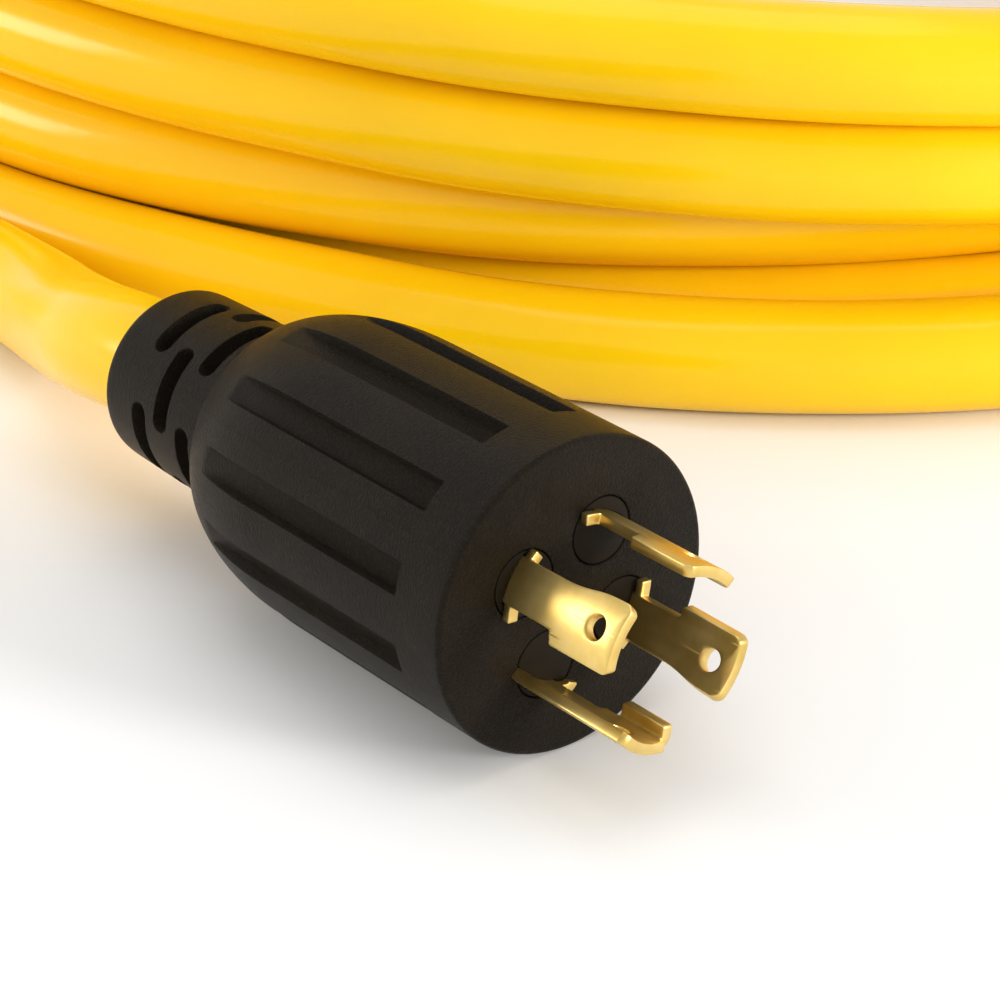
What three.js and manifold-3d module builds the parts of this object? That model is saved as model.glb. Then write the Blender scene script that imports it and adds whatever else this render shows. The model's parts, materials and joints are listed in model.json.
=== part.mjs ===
// Generator and shore power cord: a moulded four-blade locking plug on a coiled four-core cable,
// with the matching moulded connector at the cable's far end. Millimetres, +Z up.
// The plug lies on the ground with its blades towards +X; the cable leaves it towards -X.
// Each cable end is built in its own frame: face at x = 0, looking along +X, its axis on the X axis.
import * as THREE from "three";
import { mergeVertices } from "three/addons/utils/BufferGeometryUtils.js";
import Module from "manifold-3d";

const wasm = await Module();
wasm.setup();

// ---- driving dimensions ----
const GAP = 0.3; // clearance between touching pieces
const CABLE_R = 9.4; // outer radius of the 10 gauge four-core cable
const JACKET_BORE_R = 6.9;
const CORE_R = 2.6; // insulated core
const CONDUCTOR_R = 1.5; // stranded copper
const CORE_PITCH_R = 3.95; // cores' distance from the cable's axis
const FILLER_R = 1.0;

const BODY_R = 22.5; // grip of both cable ends
const NECK_REAR = -92.3; // where the plug's neck ends
const CONNECTOR_EXTRA = 10; // the connector's body is longer than the plug's
const GRIP_PROFILE = [
  [0, 21.8], [-0.7, BODY_R], [-42, BODY_R], [-48, 22.2], [-53, 21.4], [-57, 20.2],
  [-61, 18.2], [-64, 15.8], [-65, 14.2], [-85, 13.8], [-90.5, 13.4], [NECK_REAR, 12.2],
];
const SHELL_SEGMENTS = 44;
const GROOVES = 12; // channels along the grip
const GROOVE_FIRST = 14.3; // degrees, from +Y towards +Z
const GROOVE_SPAN = 10.5; // degrees
const GROOVE_DEPTH = 1.4;
const GROOVE_FRONT = -9.5;
const GROOVE_BACK = -60;
const NECK_R = 14;
const NECK_SLOT_DEPTH = 2.6;
const NECK_SLOT_WIDTH = 3;
const NECK_SLOT_SPAN = 54; // degrees
const NECK_SLOT_ROWS = [[-70.5, 17], [-76.3, 62], [-82.1, 17]]; // x and first slot's angle
const NECK_SLOTS = 4; // in each row

const CAVITY_SEGMENTS = 32;
const CHAMBER_R = 17; // hollow that holds the inner parts
const CHAMBER_BACK = -50; // where it starts to narrow
const BORE_FRONT = -59; // where the cable's bore starts
const FRONT_WALL = 7;

const BLADE_ANGLES = [60.5, 150.5, 240.5, 330.5]; // neutral, hot, ground, hot, from +Y towards +Z
const BLADE_NAMES = ["neutral", "hot_x", "ground", "hot_y"];
const BLADE_OUTER_R = 12.3;
const BLADE_INNER_R = 10.7;
const BLADE_LENGTH = 20.5;
const ROOT_EDGES = [-17, 14.5]; // degrees from the blade's middle; the locking hook is on the + side
const TAB_EDGES = [-22.5, 21.5];
const HEAD_EDGES = [-23, 24];
const HEAD_START = 9.3;
const TAB_HEIGHT = 1.4;
const BLADE_HOLE_R = 1.6;
const BLADE_HOLE_X = 16.5;
const FLANGE = { from: 12, innerR: 8.9, edges: [19.5, 24] }; // the ground blade's inturned edge
const BLADE_COLUMNS = 5;

const CARRIER_BACK = -12; // back face of the plug's blade carrier
const BOSS_R = 4.75; // round boss around each blade, flush with the face
const BOSS_PITCH_R = 9.5;
const BARREL_PITCH_R = 10.5;
const BARREL_R = 2.9;
const BARREL_BORE_R = 1.8;
const BARREL_LENGTH = 11;
const BARREL_SETBACK = 3.5; // from the carrier's back face to the barrel
const INSERT_BACK = -22; // back face of the connector's insert
const INSERT_R = 17.4;
const ENTRY = { inner: 10.35, outer: 12.65, edges: [-25.5, 25.5], depth: 3 };
const POCKET = { inner: 9.1, outer: 13.9, edges: [-25.5, 25.5] };
const LEAF = { inner: [9.5, 10.3], outer: [12.7, 13.5], edges: [-18, 18], back: -20.5 };

const CORE_LEAD = 3; // straight core behind each barrel
const CORE_MEET = -57; // where the cores come together, in the plug

const PLUG_X = (BLADE_LENGTH - NECK_REAR) / 2 - BLADE_LENGTH; // puts the plug's middle over the origin

// ---- cable on the ground ----
const COIL_X = -146.3; // middle of the coil
const COIL_Y = 206.2;
const RING = { shift: -12, outer: 186, inner: 96, top: 54.2, segments: 72 };
const LEAD_ROUTE = [ // from the plug's neck to the coil, chosen by hand
  [-56.7, 0, 22.5], [-60, 0, 22.5], [-66, 0.5, 21.7], [-75, 2.3, 19.3], [-84, 5.4, 16.3], [-95, 8.9, 13.3],
  [-106, 11.2, 11.2], [-117, 13, 9.9], [-130, 14.5, 9.5], [-143, 14.5, 9.4], [-168, 12, 9.4],
];
const TOP_ROUTE = [ // top turn: angle round the coil, radius and height, chosen by hand
  [62, 154, 63.9], [40, 155, 63.9], [18, 156, 63.9], [-4, 158, 63.9], [-26, 161, 63.9], [-48, 164, 63.9],
  [-70, 165, 63.9], [-92, 169, 63.9], [-108, 173, 63.9], [-124, 174, 64.2], [-140, 170, 65.6],
  [-152, 163, 68],
];
const CONNECTOR_NECK = [-297.3, 209.4, 77.2]; // end of its cable
const CONNECTOR_HEADING = 76; // degrees from +X towards +Y
const CONNECTOR_STRAIGHT = 8; // straight cable behind it
const LEAD_STEPS = 16;
const TOP_STEPS = 26;
const TUBE_SIDES = 10;
const CORE_SIDES = 6;
const CORE_STEPS = 8;

// ---- materials ----
const material = (color, roughness, metalness = 0) =>
  new THREE.MeshStandardMaterial({ color, roughness, metalness });
const MATERIALS = {
  overmould: material(0x1b1918, 0.55),
  carrier: material(0x2a2421, 0.6),
  brass: material(0xc9a24b, 0.3, 1),
  copper: material(0xb4683a, 0.4, 1),
  jacket: material(0xf7c51c, 0.45),
  inner: material(0x8d8a84, 0.7),
  filler: material(0xd8d0bd, 0.9),
  neutral: material(0xe9e6df, 0.5),
  hot_x: material(0x1c1c1e, 0.5),
  ground: material(0x2f7a3c, 0.5),
  hot_y: material(0xb3231f, 0.5),
};

// ---- from three.js geometry to solids and back ----
function solid(geometry) {
  const bare = geometry.clone();
  bare.deleteAttribute("normal");
  bare.deleteAttribute("uv");
  const merged = mergeVertices(bare, 1e-4);
  return new wasm.Manifold(
    new wasm.Mesh({
      numProp: 3,
      vertProperties: merged.getAttribute("position").array,
      triVerts: new Uint32Array(merged.index.array),
    }),
  );
}

function named(name, body, finish) {
  const { vertProperties, triVerts } = body.getMesh();
  const geometry = new THREE.BufferGeometry();
  geometry.setAttribute("position", new THREE.BufferAttribute(vertProperties, 3));
  geometry.setIndex(new THREE.BufferAttribute(triVerts, 1));
  geometry.computeVertexNormals();
  const mesh = new THREE.Mesh(geometry, finish);
  mesh.name = name;
  return mesh;
}

const joined = (first, ...others) => others.reduce((all, one) => all.add(one), first);
const cut = (first, ...tools) => tools.reduce((rest, tool) => rest.subtract(tool), first);
const radians = THREE.MathUtils.degToRad;

// ---- basic shapes ----
// A body turned round the X axis, from [x, radius] points that start and end on the axis,
// or round the whole outline of a ring.
function turned(points, segments) {
  const outline = points.map(([x, r]) => new THREE.Vector2(r, x));
  return solid(new THREE.LatheGeometry(outline, segments).rotateZ(-Math.PI / 2));
}

// Extrudes a shape of the Y-Z plane from x0 to x1.
const ALONG_X = new THREE.Matrix4().makeBasis(
  new THREE.Vector3(0, 1, 0),
  new THREE.Vector3(0, 0, 1),
  new THREE.Vector3(1, 0, 0),
);
function prism(shape, x0, x1, curveSegments = 12) {
  const depth = x1 - x0;
  const geometry = new THREE.ExtrudeGeometry(shape, { depth, bevelEnabled: false, curveSegments });
  return solid(geometry.applyMatrix4(ALONG_X).translate(x0, 0, 0));
}

// Part of a tube round the X axis, between two radii and two angles in degrees.
function sector(innerR, outerR, [from, to], x0, x1, curveSegments = 3) {
  const shape = new THREE.Shape();
  shape.absarc(0, 0, outerR, radians(from), radians(to), false);
  shape.absarc(0, 0, innerR, radians(to), radians(from), true);
  shape.closePath();
  return prism(shape, x0, x1, curveSegments);
}

// A round bar along X whose axis is at a radius and angle from the X axis.
function bar(r, pitchR, angle, x0, x1, curveSegments = 5) {
  const shape = new THREE.Shape();
  const y = pitchR * Math.cos(radians(angle));
  const z = pitchR * Math.sin(radians(angle));
  shape.absarc(y, z, r, 0, 2 * Math.PI, false);
  return prism(shape, x0, x1, curveSegments);
}

// A round tube along a smooth route.
function sweep(points, r, steps, sides) {
  const shape = new THREE.Shape();
  const middle = new THREE.Vector2();
  const corner = (i) => new THREE.Vector2(r, 0).rotateAround(middle, (2 * Math.PI * i) / sides);
  shape.setFromPoints(Array.from({ length: sides }, (_, i) => corner(i)));
  const stops = points.map((p) => new THREE.Vector3(...p));
  const extrudePath = new THREE.CatmullRomCurve3(stops, false, "centripetal");
  return solid(new THREE.ExtrudeGeometry(shape, { steps, extrudePath, bevelEnabled: false }));
}

const polar = (x, r, angle) => [x, r * Math.cos(radians(angle)), r * Math.sin(radians(angle))];
const turnedBy = (angle, edges) => edges.map((edge) => angle + edge);

// ---- pieces of a cable end ----
// The rubbery overmould: grip, shoulder and slotted neck, hollow, before its front is cut.
function shell(extra, cavity) {
  const grip = GRIP_PROFILE.map(([x, r]) => [x < -1 ? x - extra : x, r]);
  const outline = [...grip].reverse();
  const body = turned([[NECK_REAR - extra, 0], ...outline, [0, 0]], SHELL_SEGMENTS);
  const grooves = Array.from({ length: GROOVES }, (_, i) => {
    const middle = GROOVE_FIRST + (360 / GROOVES) * i;
    const edges = [middle - GROOVE_SPAN / 2, middle + GROOVE_SPAN / 2];
    return sector(BODY_R - GROOVE_DEPTH, BODY_R + 1, edges, GROOVE_BACK - extra, GROOVE_FRONT, 1);
  });
  const slots = NECK_SLOT_ROWS.flatMap(([x, first]) =>
    Array.from({ length: NECK_SLOTS }, (_, i) => {
      const middle = first + (360 / NECK_SLOTS) * i;
      const edges = [middle - NECK_SLOT_SPAN / 2, middle + NECK_SLOT_SPAN / 2];
      const from = x - extra - NECK_SLOT_WIDTH / 2;
      return sector(NECK_R - NECK_SLOT_DEPTH, NECK_R + 1, edges, from, from + NECK_SLOT_WIDTH, 3);
    }),
  );
  return cut(body, turned(cavity, CAVITY_SEGMENTS), ...grooves, ...slots);
}

// The hollow inside the shell, from the neck's bore to the chamber that ends at frontX.
function cavityProfile(extra, frontX) {
  const boreR = CABLE_R + GAP;
  return [
    [NECK_REAR - extra - 1, 0], [NECK_REAR - extra - 1, boreR], [BORE_FRONT - extra, boreR],
    [CHAMBER_BACK - extra, CHAMBER_R], [frontX, CHAMBER_R], [frontX, 0],
  ];
}

// Where a core runs: from its crimp barrel back into the cable. frontR is its pitch at the barrel.
function coreRoute(extra, front, angle) {
  const meet = CORE_MEET - extra;
  return [
    polar(front, BARREL_PITCH_R, angle),
    polar(front - CORE_LEAD, BARREL_PITCH_R, angle),
    polar(front * 0.6 + meet * 0.4, BARREL_PITCH_R * 0.86, angle),
    polar(front * 0.3 + meet * 0.7, BARREL_PITCH_R * 0.53, angle),
    polar(meet, CORE_PITCH_R, angle),
    polar(NECK_REAR - extra, CORE_PITCH_R, angle),
  ];
}

// The hard inner mould that locks the crimped joints in place.
function innerMould(extra, front, angles) {
  const block = turned([
    [BORE_FRONT - extra + 1, 0], [BORE_FRONT - extra + 1, 10.1],
    [CHAMBER_BACK - extra + GAP, CHAMBER_R - GAP], [front - GAP, CHAMBER_R - GAP], [front - GAP, 0],
  ], 32);
  const barrelEnd = front - BARREL_SETBACK - BARREL_LENGTH;
  const clearances = angles.flatMap((angle) => [
    bar(BARREL_R + GAP, BARREL_PITCH_R, angle, barrelEnd - 1, front + 1),
    sweep(coreRoute(extra, barrelEnd - 0.5, angle), CORE_R + 2 * GAP, CORE_STEPS, CORE_SIDES),
  ]);
  return cut(block, ...clearances, bar(CORE_PITCH_R + 1, 0, 0, BORE_FRONT - extra, CORE_MEET - extra + 2));
}

// The crimp barrel behind a blade or contact, with the web that joins them.
function barrel(front, angle) {
  const x1 = front - BARREL_SETBACK;
  const x0 = x1 - BARREL_LENGTH;
  const tube = bar(BARREL_R, BARREL_PITCH_R, angle, x0, x1 + 1);
  const web = sector(BLADE_INNER_R, BLADE_OUTER_R, [angle - 8, angle + 8], x1, front + 1, 2);
  return cut(joined(tube, web), bar(BARREL_BORE_R, BARREL_PITCH_R, angle, x0 - 1, x1 - 0.5));
}

// Jacket end, filler, four insulated cores and their copper, in the frame of one cable end.
function cableInside(prefix, extra, front, angles) {
  const rear = NECK_REAR - extra;
  const barrelEnd = front - BARREL_SETBACK - BARREL_LENGTH;
  const jacketFront = BORE_FRONT - extra - GAP;
  const jacket = cut(
    bar(CABLE_R, 0, 0, rear, jacketFront, 10),
    bar(JACKET_BORE_R, 0, 0, rear - 1, jacketFront + 1, 10),
  );
  const pieces = [
    named(`${prefix}_jacket_end`, jacket, MATERIALS.jacket),
    named(`${prefix}_cable_filler`, bar(FILLER_R, 0, 0, rear, jacketFront, 3), MATERIALS.filler),
  ];
  angles.forEach((angle, i) => {
    const route = coreRoute(extra, barrelEnd - 0.5, angle);
    const copperRoute = [polar(barrelEnd + BARREL_LENGTH - 1, BARREL_PITCH_R, angle), ...route];
    const boreRoute = copperRoute.concat([polar(rear - 1, CORE_PITCH_R, angle)]);
    const insulation = cut(
      sweep(route, CORE_R, CORE_STEPS, CORE_SIDES),
      sweep(boreRoute, CONDUCTOR_R + GAP, CORE_STEPS, CORE_SIDES),
    );
    const copper = sweep(copperRoute, CONDUCTOR_R - 0.1, CORE_STEPS, CORE_SIDES);
    pieces.push(
      named(`${prefix}_core_${BLADE_NAMES[i]}`, insulation, MATERIALS[BLADE_NAMES[i]]),
      named(`${prefix}_conductor_${BLADE_NAMES[i]}`, copper, MATERIALS.copper),
    );
  });
  return pieces;
}

// ---- the plug's own pieces ----
// A bent sheet between the blade's two radii: each station is [x, first edge, last edge] in degrees.
function bentSheet(stations, angle) {
  const loop = [];
  const columns = Array.from({ length: BLADE_COLUMNS + 1 }, (_, i) => i / BLADE_COLUMNS);
  const ring = ([x, from, to]) => [
    ...columns.map((t) => polar(x, BLADE_OUTER_R, angle + from + (to - from) * t)),
    ...columns.map((t) => polar(x, BLADE_INNER_R, angle + to + (from - to) * t)),
  ];
  stations.forEach((station) => loop.push(...ring(station).flat()));
  const size = 2 * columns.length;
  const faces = [];
  for (let s = 0; s + 1 < stations.length; s++) {
    for (let i = 0; i < size; i++) {
      const a = s * size + i;
      const b = s * size + ((i + 1) % size);
      faces.push(a, b, a + size, b, b + size, a + size);
    }
  }
  const last = (stations.length - 1) * size;
  for (let i = 0; i < BLADE_COLUMNS; i++) {
    const back = size - 1 - i;
    faces.push(i, back, i + 1, i + 1, back, back - 1);
    faces.push(last + i, last + i + 1, last + back, last + i + 1, last + back - 1, last + back);
  }
  const geometry = new THREE.BufferGeometry();
  geometry.setAttribute("position", new THREE.Float32BufferAttribute(loop, 3));
  geometry.setIndex(faces);
  return solid(geometry);
}

function blade(angle, isGround) {
  const step = 0.15;
  const sheet = bentSheet([
    [CARRIER_BACK, ...ROOT_EDGES], [GAP, ...ROOT_EDGES], [GAP + 0.05, ...TAB_EDGES],
    [TAB_HEIGHT, ...TAB_EDGES], [TAB_HEIGHT + 0.05, ...ROOT_EDGES], [HEAD_START - step, ...ROOT_EDGES],
    [HEAD_START + step, ROOT_EDGES[0] - 1, HEAD_EDGES[1]],
    [HEAD_START + 3.5, HEAD_EDGES[0] + 2, HEAD_EDGES[1]],
    [BLADE_LENGTH - 0.8, ...HEAD_EDGES], [BLADE_LENGTH, HEAD_EDGES[0] + 3, HEAD_EDGES[1] - 3],
  ], angle);
  const hole = solid(
    new THREE.CylinderGeometry(BLADE_HOLE_R, BLADE_HOLE_R, 6, 12)
      .rotateZ(Math.PI / 2)
      .rotateY(Math.PI / 2)
      .rotateZ(Math.PI / 2)
      .translate(BLADE_HOLE_X, BLADE_OUTER_R, 0)
      .rotateX(radians(angle - 1)),
  );
  const body = joined(cut(sheet, hole), barrel(CARRIER_BACK, angle));
  if (!isGround) return body;
  const edges = turnedBy(angle, FLANGE.edges);
  return body.add(sector(FLANGE.innerR, BLADE_INNER_R + 0.5, edges, FLANGE.from, BLADE_LENGTH - 0.8, 3));
}

// The insulating carrier: a disc with a round boss for each blade that comes flush with the face.
function bladeCarrier() {
  const disc = bar(CHAMBER_R - GAP, 0, 0, CARRIER_BACK, -FRONT_WALL - GAP, 16);
  const bosses = BLADE_ANGLES.map((a) => bar(BOSS_R, BOSS_PITCH_R, a, -FRONT_WALL - 1, 0, 8));
  const edges = [ROOT_EDGES[0] - 1.5, ROOT_EDGES[1] + 1.5];
  const slots = BLADE_ANGLES.map((a) =>
    sector(BLADE_INNER_R - GAP, BLADE_OUTER_R + GAP, turnedBy(a, edges), CARRIER_BACK - 1, 1, 3));
  return cut(joined(disc, ...bosses), ...slots);
}

function plug() {
  const extra = 0;
  const group = new THREE.Group();
  const bossHoles = BLADE_ANGLES.map((a) => bar(BOSS_R + GAP, BOSS_PITCH_R, a, -FRONT_WALL - 1, 1, 8));
  const overmould = cut(shell(extra, cavityProfile(extra, -FRONT_WALL)), ...bossHoles);
  group.add(
    named("plug_overmould", overmould, MATERIALS.overmould),
    named("plug_blade_carrier", bladeCarrier(), MATERIALS.carrier),
    named("plug_inner_mould", innerMould(extra, CARRIER_BACK, BLADE_ANGLES), MATERIALS.inner),
    ...BLADE_ANGLES.map((a, i) =>
      named(`plug_blade_${BLADE_NAMES[i]}`, blade(a, i === 2), MATERIALS.brass)),
    ...cableInside("plug", extra, CARRIER_BACK, BLADE_ANGLES),
  );
  return group;
}

// ---- the connector's own pieces ----
// Its slots mirror the plug's blades, so that the two faces meet.
const SOCKET_ANGLES = BLADE_ANGLES.map((angle) => -angle);
const mirrored = ([from, to]) => [-to, -from];

function faceInsert() {
  const block = bar(INSERT_R, 0, 0, INSERT_BACK, 0, 16);
  const entries = SOCKET_ANGLES.map((a) =>
    sector(ENTRY.inner, ENTRY.outer, turnedBy(a, mirrored(ENTRY.edges)), -ENTRY.depth - 1, 1, 4));
  const pockets = SOCKET_ANGLES.map((a) =>
    sector(POCKET.inner, POCKET.outer, turnedBy(a, POCKET.edges), INSERT_BACK - 1, -ENTRY.depth, 4));
  const flangeEdges = mirrored([FLANGE.edges[0] - 2, ENTRY.edges[1]]);
  const flangeEntry = sector(FLANGE.innerR - GAP, ENTRY.inner + GAP,
    turnedBy(SOCKET_ANGLES[2], flangeEdges), INSERT_BACK - 1, 1, 3);
  return cut(block, ...entries, ...pockets, flangeEntry);
}

// A folded spring contact: two leaves joined at the back, and a crimp barrel.
function contact(angle) {
  const edges = turnedBy(angle, LEAF.edges);
  const outerLeaf = sector(LEAF.outer[0], LEAF.outer[1], edges, LEAF.back, -ENTRY.depth - 1);
  const innerLeaf = sector(LEAF.inner[0], LEAF.inner[1], edges, LEAF.back, -ENTRY.depth - 1);
  const back = sector(LEAF.inner[0], LEAF.outer[1], edges, LEAF.back - 1, LEAF.back + 0.5);
  const tangEdges = [angle - 8, angle + 8];
  const tang = sector(BLADE_INNER_R, BLADE_OUTER_R, tangEdges, INSERT_BACK - 0.5, LEAF.back, 2);
  return joined(outerLeaf, innerLeaf, back, tang, barrel(INSERT_BACK, angle));
}

function connector() {
  const extra = CONNECTOR_EXTRA;
  const group = new THREE.Group();
  const front = bar(INSERT_R + GAP, 0, 0, INSERT_BACK - GAP, 1, 16);
  const overmould = cut(shell(extra, cavityProfile(extra, INSERT_BACK)), front);
  group.add(
    named("connector_overmould", overmould, MATERIALS.overmould),
    named("connector_face_insert", faceInsert(), MATERIALS.carrier),
    named("connector_inner_mould", innerMould(extra, INSERT_BACK, SOCKET_ANGLES), MATERIALS.inner),
    ...SOCKET_ANGLES.map((a, i) =>
      named(`connector_contact_${BLADE_NAMES[i]}`, contact(a), MATERIALS.brass)),
    ...cableInside("connector", extra, INSERT_BACK, SOCKET_ANGLES),
  );
  return group;
}

// ---- the free cable ----
// The coil as one ring of its outer shape, grooved where the lead from the plug lies in it.
function coil() {
  const { outer, inner, top, segments, shift } = RING;
  const outline = [
    [0, inner], [0, outer], [2 * CABLE_R, outer], [top - CABLE_R, outer - 5], [top, outer - 9],
    [top, inner + 26], [top - CABLE_R, inner + 18], [2 * CABLE_R, inner], [0, inner],
  ];
  const ring = solid(
    new THREE.LatheGeometry(outline.map(([z, r]) => new THREE.Vector2(r, z)), segments)
      .rotateX(Math.PI / 2)
      .translate(COIL_X + shift, COIL_Y + shift, 0),
  );
  const groove = sweep(LEAD_ROUTE, CABLE_R + GAP, LEAD_STEPS, TUBE_SIDES);
  const [x, y, z] = LEAD_ROUTE.at(-1);
  const endClearance = sweep([[x + GAP, y, z], [x - GAP, y, z]], CABLE_R + 2 * GAP, 1, TUBE_SIDES);
  return cut(ring, groove, endClearance);
}

function onCoil([angle, radius, height]) {
  const [, x, y] = polar(0, radius, angle);
  return [COIL_X + x, COIL_Y + y, height];
}

// A point on the connector's axis, at a distance in front of its cable end.
function onConnectorAxis(distance) {
  const [x, y, z] = CONNECTOR_NECK;
  const heading = radians(CONNECTOR_HEADING);
  return [x + distance * Math.cos(heading), y + distance * Math.sin(heading), z];
}

function freeCable() {
  const group = new THREE.Group();
  const lead = sweep(LEAD_ROUTE, CABLE_R, LEAD_STEPS, TUBE_SIDES);
  const topRoute = [...TOP_ROUTE.map(onCoil), onConnectorAxis(-CONNECTOR_STRAIGHT), onConnectorAxis(-GAP)];
  const topTurn = sweep(topRoute, CABLE_R, TOP_STEPS, TUBE_SIDES);
  group.add(
    named("cable_lead", lead, MATERIALS.jacket),
    named("cable_coil", coil(), MATERIALS.jacket),
    named("cable_top_turn", topTurn, MATERIALS.jacket),
  );
  return group;
}

// ---- the cord ----
const cord = new THREE.Group();

const nearEnd = plug();
nearEnd.position.set(PLUG_X, 0, BODY_R);

const farEnd = connector();
farEnd.rotation.z = radians(CONNECTOR_HEADING);
farEnd.position.set(...onConnectorAxis(CONNECTOR_EXTRA - NECK_REAR));

cord.add(nearEnd, farEnd, freeCable());

export default cord;
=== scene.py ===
import json
import math

import bmesh
import bpy
from mathutils import Matrix, Vector


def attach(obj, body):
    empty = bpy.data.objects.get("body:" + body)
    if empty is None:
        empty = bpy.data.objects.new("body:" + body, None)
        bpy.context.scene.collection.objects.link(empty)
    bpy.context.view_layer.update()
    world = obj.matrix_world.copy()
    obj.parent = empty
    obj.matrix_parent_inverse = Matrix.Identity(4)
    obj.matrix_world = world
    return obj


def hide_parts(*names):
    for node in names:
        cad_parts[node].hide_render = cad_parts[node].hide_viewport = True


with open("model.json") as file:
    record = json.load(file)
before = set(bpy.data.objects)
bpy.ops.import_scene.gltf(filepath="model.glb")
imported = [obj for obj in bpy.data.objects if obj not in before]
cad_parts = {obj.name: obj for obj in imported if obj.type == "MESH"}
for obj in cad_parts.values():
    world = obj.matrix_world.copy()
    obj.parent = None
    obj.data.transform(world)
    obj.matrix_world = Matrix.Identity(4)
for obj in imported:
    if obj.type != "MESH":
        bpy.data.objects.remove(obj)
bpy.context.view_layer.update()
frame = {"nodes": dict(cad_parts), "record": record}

# A moulded four-blade locking plug in front of its coiled yellow cable, on a pale studio floor.
# Sizes are in millimetres and become metres when a mesh is made. Each cable end is built in its
# own frame, as in the CAD: face at x = 0, looking along +X; angles go from +Y towards +Z.

MM = 0.001
NODES = frame["nodes"]
ROLES = ("neutral", "hot_x", "ground", "hot_y")

# ---- sizes ----
CABLE_R = 9.4
CABLE_SIDES = 40
CORE_LOBES = {"count": 4, "height": 0.09, "lay": 210}  # the cores just show through the jacket

BODY_R = 22.5
NECK_R = 14.0
FACE_ROUNDING = 0.7
NECK_TAPER = {"flare": 0.2, "drop": 0.65}
MOUTH = {"length": 1.7, "wall": 2.0, "height": 2.15, "steps": 7}
SHOULDER = {"start": -42.0, "end": -65.0, "drop": 8.3}
NECK_END = -92.3
CONNECTOR_EXTRA = 10.0
STRETCH_BEHIND = -12  # the connector's body is longer than the plug's behind this place
GROOVE = {"count": 12, "first": 14.3, "half_span": 5.4, "depth": 1.4, "front": -9.3, "wall": 0.3}
GRID = {  # of the overmould's skin: degrees round it and millimetres along it
    "wall_columns": (-0.9, -0.5, -0.2, 0.2, 0.5, 0.9),
    "wall_rows": (0.6, 0.3, 0.12, -0.12, -0.3, -0.6),
    "column_step": 0.9, "wall_past": 1.6, "wall_short": 1.2,
    "steep_from": -60, "slots_to": -84.5, "last": -90.6,
    "row_step": {"body": 1.6, "shoulder": 0.7, "steep": 0.35, "slots": 0.27, "neck": 0.8},
}
PARTING = {"angles": (149.3, 329.3), "height": 0.07, "width": 0.22}
SLOT = {"width": 3.0, "span": 54.0, "floor_r": 11.4, "per_row": 4}
SLOT_ROWS = ((-70.5, 17.0), (-76.3, 62.0), (-82.1, 17.0))
CHAMBER = {"r": 17.0, "back": -50.0, "bore_front": -59.0, "bore_r": 9.7}
FRONT_WALL = -7.0

BLADE_ANGLES = (60.5, 150.5, 240.5, 330.5)
BLADE_MIDDLE_R = 11.5
GROUND_OUT = 1.0  # the ground blade sits a little further out
GROUND_LONGER = 1.2
BLADE_THICKNESS = 1.6
BLADE_EDGE = 0.22
BLADE_SPAN = (-24, 27)  # degrees that a blade's bending covers
BLADE_MARGIN = 3  # and how far past them, for the ground blade's flap
BEND_STEP = 0.3  # width of the strips that it is bent in
BLADE_HOLE = {"x": 16.5, "angle": -1.0, "r": 1.6, "sides": 40}
FLANGE = {"from": 11.8, "to": 19.8, "angle": 23.6, "length": 3.2, "bend_r": 1.1}
BARREL = {"pitch_r": 10.5, "r": 2.9, "bore_r": 1.8, "front": -15.5, "back": -26.5}
BOSS = {"r": 4.75, "pitch_r": 9.5}
CARRIER_BACK = -12.0
INSERT = {"r": 17.4, "back": -22.0}
ENTRY = {"inner": 10.35, "outer": 12.65, "half_span": 25.5, "depth": 4}
POCKET = {"inner": 9.1, "outer": 13.9, "front": -3}
FLANGE_ENTRY = {"inner": 8.6, "outer": 10.65, "from": -25.5, "to": -17.5}


# ---- meshes ----
def add_object(name, verts, faces):
    """A new object from points in millimetres."""
    mesh = bpy.data.meshes.new(name)
    mesh.from_pydata([[c * MM for c in v] for v in verts], [], faces)
    mesh.validate()
    return link(name, mesh)


def link(name, mesh):
    obj = bpy.data.objects.new(name, mesh)
    bpy.context.scene.collection.objects.link(obj)
    return obj


def object_from(bm, name):
    """A new object from a bmesh in millimetres."""
    bmesh.ops.recalc_face_normals(bm, faces=bm.faces)
    bmesh.ops.scale(bm, vec=(MM, MM, MM), verts=bm.verts)
    mesh = bpy.data.meshes.new(name)
    bm.to_mesh(mesh)
    bm.free()
    return link(name, mesh)


def smooth(obj, angle=35):
    """Rounded shading that keeps the edges sharper than the angle."""
    obj.data.shade_smooth()
    obj.data.set_sharp_from_angle(angle=math.radians(angle))
    return obj


def baked(obj):
    """Replaces the object's mesh by what its modifiers make of it."""
    depsgraph = bpy.context.evaluated_depsgraph_get()
    mesh = bpy.data.meshes.new_from_object(obj.evaluated_get(depsgraph))
    obj.modifiers.clear()
    obj.data = mesh
    return obj


def boolean(obj, tools, operation="DIFFERENCE"):
    for tool in tools:
        modifier = obj.modifiers.new(operation, "BOOLEAN")
        modifier.operation = operation
        modifier.solver = "EXACT"
        modifier.object = tool
    baked(obj)
    for tool in tools:
        bpy.data.objects.remove(tool)
    return obj


def polar(x, r, angle):
    turn = math.radians(angle)
    return (x, r * math.cos(turn), r * math.sin(turn))


def revolved(name, outline, segments=96, axis_at=(0, 0)):
    """A body turned round an axis along X, from (x, radius) points; radius 0 at both ends closes it."""
    y0, z0 = axis_at
    verts, faces, rings = [], [], []
    for x, r in outline:
        if r == 0:
            rings.append([len(verts)] * segments)
            verts.append((x, y0, z0))
            continue
        rings.append(range(len(verts), len(verts) + segments))
        ring = (polar(x, r, 360 * i / segments) for i in range(segments))
        verts.extend((px, py + y0, pz + z0) for px, py, pz in ring)
    for low, high in zip(rings, rings[1:]):
        for i in range(segments):
            j = (i + 1) % segments
            corners = dict.fromkeys((low[i], low[j], high[j], high[i]))
            faces.append(tuple(corners))
    obj = add_object(name, verts, faces)
    return facing_out(obj)


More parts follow.
